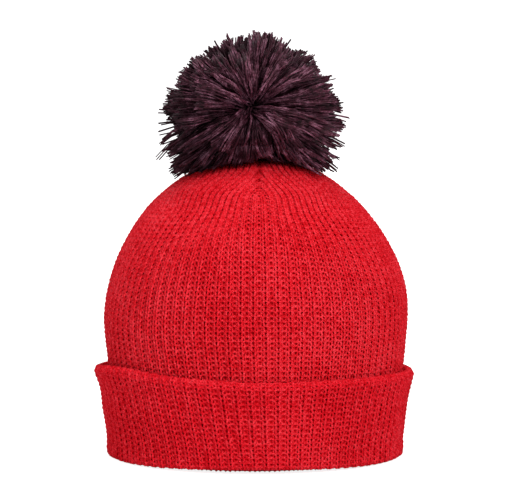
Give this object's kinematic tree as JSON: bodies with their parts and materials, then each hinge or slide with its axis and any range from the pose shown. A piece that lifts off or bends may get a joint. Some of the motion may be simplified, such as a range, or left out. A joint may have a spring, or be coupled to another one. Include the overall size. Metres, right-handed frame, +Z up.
{
  "type": "knitted beanie",
  "caption": "Rib-knit winter hat of doubled fabric with a turned-up cuff, darted crown and a large yarn pom pom tied to the crown by a cord.",
  "frame": {"origin": "centre of the bottom edge, in the plane the hat rests on", "axes": "+Z up to the pom pom, -Y towards the front, +X to the viewer's right"},
  "size_m": [0.184, 0.205, 0.2458],
  "materials": {
    "shell_knit": "matte red rib knit",
    "lining_knit": "matte red rib knit, inner side",
    "cuff_knit": "matte red rib knit",
    "cuff_inside_knit": "matte red rib knit, inner side",
    "seam_thread": "red overlocked seam thread",
    "pom_yarn": "dark aubergine cut yarn",
    "tie_cord": "dark twisted cord"
  },
  "bodies": {
    "hat": {"outer_shell": "shell_knit", "inner_lining": "lining_knit", "dart_seam_front": "seam_thread", "dart_seam_back": "seam_thread", "dart_seam_left": "seam_thread", "dart_seam_right": "seam_thread", "lining_seam_a": "seam_thread", "lining_seam_b": "seam_thread", "lining_seam_c": "seam_thread", "lining_seam_d": "seam_thread"},
    "cuff": {"cuff_outer_layer": "cuff_knit", "cuff_inner_layer": "cuff_inside_knit"},
    "tether": {"tether_cord": "tie_cord", "anchor_knot": "tie_cord"},
    "pom": {"pom_binding": "tie_cord", "pom_yarn": "pom_yarn"}
  },
  "joints": [
    {"name": "cuff_roll_down", "type": "slide", "parent": "hat", "child": "cuff", "axis": [0, 0, -1], "range_m": [0, 0.046], "stiffness_N_per_m": 20},
    {"name": "pom_sway", "type": "hinge", "parent": "hat", "child": "tether", "pos_m": [0.0018, 0, 0.1697], "axis": [0, 1, 0], "range_deg": [-12, 12], "stiffness_Nm_per_rad": 0.05},
    {"name": "pom_nod", "type": "hinge", "parent": "tether", "child": "pom", "pos_m": [-0.0025, 0.004, 0.1868], "axis": [1, 0, 0], "range_deg": [-12, 12], "stiffness_Nm_per_rad": 0.05}
  ]
}
